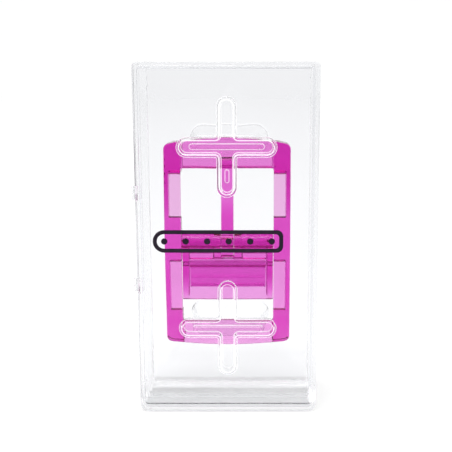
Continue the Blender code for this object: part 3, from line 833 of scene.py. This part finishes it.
def window(side, low, high, skin):
    """The hollow behind a rail's front, open towards the back and the opening."""
    profile = bow_front(skin, low, high) + [(PAST, high), (PAST, low)]
    inner, outer = sorted((side * (OPENING_HALF_WIDTH - PAST),
                           side * (BUCKLE_HALF_WIDTH - RAIL_SIDE_WALL)))
    return extrude_outline("window", profile, 'YZ', inner, outer)


def make_frame(material):
    """The buckle's rails and bars as one moulding, hollowed behind its four windows."""
    buckle = rail(1)
    buckle.name = "buckle_body"
    reach = OPENING_HALF_WIDTH + BITE
    top = BUCKLE_TOP + 2 * BITE
    top_front = END_FRONT - 2 * BITE * TOP_BAR_SLOPE
    low_front = END_FRONT + TOP_BAR_LEAN
    lip_high = TOP_BAR_LOW + TOP_BAR_LIP
    profile = [(top_front, top), (low_front, TOP_BAR_LOW), (TOP_BAR_LIP_BACK, TOP_BAR_LOW),
               (TOP_BAR_LIP_BACK, lip_high),
               (low_front + TOP_BAR_THICK - TOP_BAR_SLOPE * TOP_BAR_LIP, lip_high),
               (top_front + TOP_BAR_THICK, top)]
    top_bar = extrude_outline("top_bar", profile, 'YZ', -reach, reach)
    bottom_bar = box("bottom_bar", (-reach, END_FRONT + BOTTOM_BAR_STEP, BUCKLE_BOTTOM - 2 * BITE),
                     (reach, END_FRONT + BOTTOM_BAR_THICK, BOTTOM_BAR_HIGH))
    join(buckle, top_bar, bottom_bar, rail(-1))
    outline = extrude_outline("outline", buckle_outline(), 'XZ',
                              END_FRONT - BOW - PAST, TOP_BAR_LIP_BACK + PAST)
    boolean(buckle, outline, 'INTERSECT')
    for side in (1, -1):
        cut(buckle, window(side, BLOCK_HIGH, TOP_CORNER_Z, HIGH_WINDOW_SKIN),
            window(side, BOTTOM_CORNER_Z, BLOCK_LOW, LOW_WINDOW_SKIN),
            rod("recess", PIN_RADIUS + GAP, (side * PIN_HIGH.x, AXIS_Y, AXIS_Z),
                (side * (BUCKLE_HALF_WIDTH + PAST), AXIS_Y, AXIS_Z)))
    mould(buckle)
    dress(buckle, [material], "case", "buckle_tint", "buckle_frame")


def make_pins(material):
    """The clamp's pin, and the cross pin, of which only the part between the rails is made."""
    y, z = LEVER_AXIS_Y, LEVER_AXIS_Z
    lever_pin = rod("lever_pin", LEVER_PIN_RADIUS, (LEVER_PIN_LOW.x, y, z),
                    (LEVER_PIN_HIGH.x, y, z), chamfer=CHAMFER)
    dress(lever_pin, [material], "clamp", "buckle_pin", "clamp_lever_pin")
    reach = OPENING_HALF_WIDTH - NUDGE
    cross_pin = rod("cross_pin", PIN_RADIUS, (-reach, AXIS_Y, AXIS_Z), (reach, AXIS_Y, AXIS_Z))
    dress(cross_pin, [material], "case", "buckle_pin", "buckle_hinge_pin")


def make_prong(material):
    """The prong, from the round heel at its eye to the bevelled tip on the top bar."""
    rest_low = END_FRONT + TOP_BAR_LEAN - GAP
    rest_end = PRONG_TIP_Z - PRONG_TIP_BACK_BEVEL
    rest_high = rest_low - TOP_BAR_SLOPE * (rest_end - TOP_BAR_LOW)
    tip_middle = (PRONG_TIP_FRONT + rest_high) / 2
    profile = [(PRONG_ROOT_FRONT, PRONG_STEP_LOW), (PRONG_TIP_FRONT, PRONG_STEP_HIGH),
               (PRONG_TIP_FRONT, PRONG_TIP_Z - PRONG_TIP_FRONT_BEVEL),
               (tip_middle - PRONG_TIP_HALF_FLAT, PRONG_TIP_Z),
               (tip_middle + PRONG_TIP_HALF_FLAT, PRONG_TIP_Z),
               (rest_high, rest_end), (rest_low, TOP_BAR_LOW),
               (PRONG_BACK, TOP_BAR_LOW - PRONG_BACK_SLOPE), (PRONG_BACK, AXIS_Z + BITE),
               (PRONG_HEEL_BACK, AXIS_Z - BITE)]
    ends = [math.degrees(math.acos((y - AXIS_Y) / PRONG_HEEL))
            for y in (PRONG_HEEL_BACK, PRONG_ROOT_FRONT)]
    profile += arc((AXIS_Y, AXIS_Z), PRONG_HEEL, -ends[0], -ends[1], 10)
    half = PRONG_HALF_WIDTH
    prong = extrude_outline("prong_tongue", profile, 'YZ', -half, half)
    join(prong, rod("eye", PRONG_EYE, (-half + EYE_STEP, AXIS_Y, AXIS_Z),
                    (half - EYE_STEP, AXIS_Y, AXIS_Z), segments=64))
    cut(prong, rod("bore", PIN_RADIUS + GAP, (-half - PAST, AXIS_Y, AXIS_Z),
                   (half + PAST, AXIS_Y, AXIS_Z)))
    mould(prong, PRONG_VOXEL)
    dress(prong, [material], "prong", "prong_tint", "buckle_prong")


def make_clamp(material):
    """The clamp: plate, barrel, web and cheeks, slotted for the prong."""
    reach = CLAMP_HALF_WIDTH
    plate_back = CLAMP_PLATE_FRONT + CLAMP_PLATE_THICK
    clamp = box("clamp_shell", (-reach, CLAMP_PLATE_FRONT, CLAMP_BOTTOM),
                (reach, plate_back, AXIS_Z))
    join(clamp, rod("barrel", BARREL_RADIUS, (-reach + NUDGE, AXIS_Y, AXIS_Z),
                    (reach - NUDGE, AXIS_Y, AXIS_Z), segments=64),
         box("web", (-reach + 2 * NUDGE, CLAMP_PLATE_FRONT + NUDGE, WEB_BOTTOM),
             (reach - 2 * NUDGE, WEB_BACK, AXIS_Z - 5 * NUDGE)),
         box("web_middle", (-WEB_MIDDLE_HALF_WIDTH, AXIS_Y, WEB_BOTTOM + NUDGE),
             (WEB_MIDDLE_HALF_WIDTH, WEB_MIDDLE_BACK, AXIS_Z - 10 * NUDGE)))
    profile = [(CLAMP_PLATE_FRONT, CLAMP_BOTTOM), (CLAMP_PLATE_FRONT, AXIS_Z),
               (CHEEK_BACK - CHEEK_BEVEL[0], AXIS_Z), (CHEEK_BACK, AXIS_Z - CHEEK_BEVEL[1]),
               (CHEEK_BACK, LEVER_AXIS_Z - CHEEK_FOOT), (plate_back, CLAMP_BOTTOM)]
    for side in (1, -1):
        inner, outer = sorted((side * CHEEK_INNER, side * reach))
        join(clamp, extrude_outline("cheek", profile, 'YZ', inner, outer))
    half = SLOT_WIDTH / 2
    clear = 3 * BARREL_RADIUS
    slot = rounded_rectangle(-half, half, SLOT_BOTTOM, AXIS_Z + clear, SLOT_CORNER, SLOT_CORNER)
    cut(clamp, extrude_outline("slot", slot, 'XZ', AXIS_Y - clear, AXIS_Y + clear),
        rod("bore", PIN_RADIUS + GAP, (-reach - PAST, AXIS_Y, AXIS_Z),
            (reach + PAST, AXIS_Y, AXIS_Z)),
        rod("bore", LEVER_PIN_RADIUS + GAP, (-reach - PAST, LEVER_AXIS_Y, LEVER_AXIS_Z),
            (reach + PAST, LEVER_AXIS_Y, LEVER_AXIS_Z)))
    mould(clamp)
    dress(clamp, [material], "clamp", "clamp_tint", "clamp_body")


def make_lever(material):
    """The toothed lever behind the clamp's plate."""
    reach = LEVER_HALF_WIDTH
    lever = box("toothed_lever", (-reach, LEVER_FRONT, LEVER_BOTTOM),
                (reach, LEVER_BACK, LEVER_AXIS_Z))
    join(lever, rod("boss", LEVER_BOSS, (-reach, LEVER_AXIS_Y, LEVER_AXIS_Z),
                    (reach, LEVER_AXIS_Y, LEVER_AXIS_Z)))
    root = LEVER_FRONT + BITE
    for z in TOOTH_HEIGHTS:
        low, high = z - TOOTH_HALF_BASE, z + TOOTH_HALF_BASE
        profile = [(root, high), (LEVER_FRONT, high), (LEVER_FRONT - TOOTH_RISE, low), (root, low)]
        join(lever, extrude_outline("tooth", profile, 'YZ', -reach + BITE, reach - BITE))
    cut(lever, rod("bore", LEVER_PIN_RADIUS + GAP, (-reach - PAST, LEVER_AXIS_Y, LEVER_AXIS_Z),
                   (reach + PAST, LEVER_AXIS_Y, LEVER_AXIS_Z)))
    mould(lever, LEVER_VOXEL)
    dress(lever, [material], "lever", "lever_tint", "clamp_lever")


# ----------------------------------------------------------------------------------- print

def make_print(material):
    """A strap outline with a row of round holes, printed on the cover's front."""
    middle = (STRAP_LOW + STRAP_HIGH) / 2
    radius = (STRAP_HIGH - STRAP_LOW) / 2
    first_hole = STRAP_LEFT + radius
    hole_span = STRAP_RIGHT - STRAP_LEFT - 2 * radius
    layers = [FACE - PRINT_SINK, FACE - PRINT_SINK - PRINT_FILM]

    def strap(inset):
        """The strap's outline: a round point at the left and rounded corners at the right."""
        corner = STRAP_CORNER - inset * STRAP_CORNER_LOSS
        right = STRAP_RIGHT - inset - corner
        return (arc((right, STRAP_LOW + inset + corner), corner, -90, 0, 6)
                + arc((right, STRAP_HIGH - inset - corner), corner, 0, 90, 6)
                + arc((first_hole, middle), radius - inset, 90, 270, 20))

    builder = bmesh.new()
    loops = [[add_ring(builder, strap(inset), y) for inset in (0.0, PRINT_STROKE)]
             for y in layers]
    for outer, inner in loops:
        bridge(builder, outer, inner)
    for i in (0, 1):
        bridge(builder, loops[0][i], loops[1][i])
    for index in range(STRAP_HOLES):
        x = first_hole + hole_span * index / (STRAP_HOLES - 1)
        circle = arc((x, middle), STRAP_HOLE_RADIUS, 0, 345, 23)
        faces = [add_ring(builder, circle, y) for y in layers]
        bridge(builder, *faces)
        for ring in faces:
            builder.faces.new(ring)
    mark = as_object("printed_strap", builder, sharp=30)
    dress(mark, [material], "cover", "cover_clear")


# ----------------------------------------------------------------------------------- stage

def along_y(tree, coordinates):
    parts = tree.nodes.new('ShaderNodeSeparateXYZ')
    place = tree.nodes.new('ShaderNodeTexCoord').outputs[coordinates]
    tree.links.new(place, parts.inputs['Vector'])
    return parts.outputs['Y']


def front_dimming(tree, depth, limits):
    """1, or less for mirrored light that comes from in front of the object.

    The fall to the mirrored level lies between the two limits of the depth along Y.
    """
    path = tree.nodes.new('ShaderNodeLightPath')
    mirrored = remap(tree, path.outputs['Glossy Depth'], UNIT, UNIT)
    in_front = remap(tree, depth, limits, UNIT)
    both = combined(tree, mirrored, in_front, 'MULTIPLY')
    return remap(tree, both, UNIT, (1.0, MIRRORED_LEVEL))


def make_floor():
    """A pale table that lights itself a little and fades with distance."""
    builder = bmesh.new()
    bmesh.ops.create_grid(builder, x_segments=1, y_segments=1, size=FLOOR_REACH)
    floor = as_object("floor", builder)
    floor.location.z = -FLOOR_DROP
    material = bpy.data.materials.new("floor_paper")
    material.use_nodes = True
    tree = material.node_tree
    tree.nodes.clear()
    depth = along_y(tree, 'Object')
    fade = remap(tree, depth, (FADE_START, FLOOR_REACH), (1.0, FADE_LEVEL))
    level = combined(tree, front_dimming(tree, depth, FLOOR_FRONT), fade, 'MULTIPLY')
    glow = tree.nodes.new('ShaderNodeEmission')
    tree.links.new(remap(tree, level, UNIT, (0.0, FLOOR_GLOW)), glow.inputs['Strength'])
    paper = tree.nodes.new('ShaderNodeBsdfDiffuse')
    tree.links.new(remap(tree, level, UNIT, (0.0, FLOOR_PAPER)), paper.inputs['Color'])
    both = tree.nodes.new('ShaderNodeAddShader')
    tree.links.new(glow.outputs['Emission'], both.inputs[0])
    tree.links.new(paper.outputs['BSDF'], both.inputs[1])
    output = tree.nodes.new('ShaderNodeOutputMaterial')
    tree.links.new(both.outputs['Shader'], output.inputs['Surface'])
    floor.data.materials.append(material)


def make_surround():
    """An even white world, which is dimmer in front for mirrored light."""
    world = bpy.data.worlds.new("studio")
    bpy.context.scene.world = world
    world.use_nodes = True
    tree = world.node_tree
    background = tree.nodes["Background"]
    background.inputs['Color'].default_value = (1.0, 1.0, 1.0, 1.0)
    level = front_dimming(tree, along_y(tree, 'Generated'), SKY_FRONT)
    tree.links.new(remap(tree, level, UNIT, (0.0, SKY_LEVEL)), background.inputs['Strength'])


def make_softbox():
    """One soft light above and in front of the case, a little to the left."""
    light = bpy.data.lights.new("softbox", 'AREA')
    light.shape = 'RECTANGLE'
    light.size = 0.5
    light.size_y = 0.35
    light.energy = 1.5
    softbox = bpy.data.objects.new("softbox", light)
    softbox.location = SOFTBOX_PLACE
    aim = Vector(SOFTBOX_AIM) - softbox.location
    softbox.rotation_euler = aim.to_track_quat('-Z', 'Y').to_euler()
    bpy.context.scene.collection.objects.link(softbox)


def make_camera():
    """The camera stands level with the case's top, a third of a metre in front of it."""
    camera = bpy.data.cameras.new("camera")
    camera.lens = 66.1
    camera.sensor_width = 36.0
    camera.shift_x = -0.064
    camera.clip_start = 0.01
    holder = bpy.data.objects.new("camera", camera)
    holder.location = CAMERA_PLACE
    holder.rotation_euler = (math.radians(90.0 - CAMERA_TILT), 0.0, 0.0)
    bpy.context.scene.collection.objects.link(holder)
    bpy.context.scene.camera = holder


def set_light_paths():
    """Enough bounces for light to cross the case and the buckle inside it."""
    scene = bpy.context.scene
    scene.cycles.max_bounces = 96
    scene.cycles.transmission_bounces = 64
    scene.cycles.glossy_bounces = 64
    scene.cycles.diffuse_bounces = 16
    scene.cycles.transparent_max_bounces = 40
    scene.cycles.use_denoising = True
    scene.view_settings.view_transform = 'Standard'


def main():
    set_light_paths()
    make_camera()
    make_floor()
    make_surround()
    make_softbox()
    # A painted highlight: half-white frosting and a glow on the boss fillets and ribs stand in for
    # the bright lines that light, reflected and piped through the clear moulding, draws on their
    # edges.
    edge_highlight = clear_plastic("painted_edge_highlight", shade=0.985, polish=0.12, transmission=0.5,
                            painted_glow=0.25)
    hazed = clear_plastic("hazed_base", shade=0.99, polish=0.08, transmission=0.97)
    make_tray([clear_plastic("tray_plastic", CASE_SHADE, CASE_POLISH), hazed])
    make_cover([clear_plastic("cover_plastic", CASE_SHADE, CASE_POLISH), edge_highlight])
    make_case_pins(clear_plastic("hinge_pin_plastic", shade=0.9, polish=0.15))
    make_frame(tinted_plastic("frame_plastic", polish=0.03, surface=FRAME_SURFACE))
    make_pins(tinted_plastic("pin_plastic", polish=0.06))
    make_prong(tinted_plastic("prong_plastic", polish=0.03))
    make_clamp(tinted_plastic("clamp_plastic", polish=0.04))
    make_lever(tinted_plastic("lever_plastic", polish=0.05))
    make_print(ink("print_ink"))


main()
bpy.context.view_layer.update()
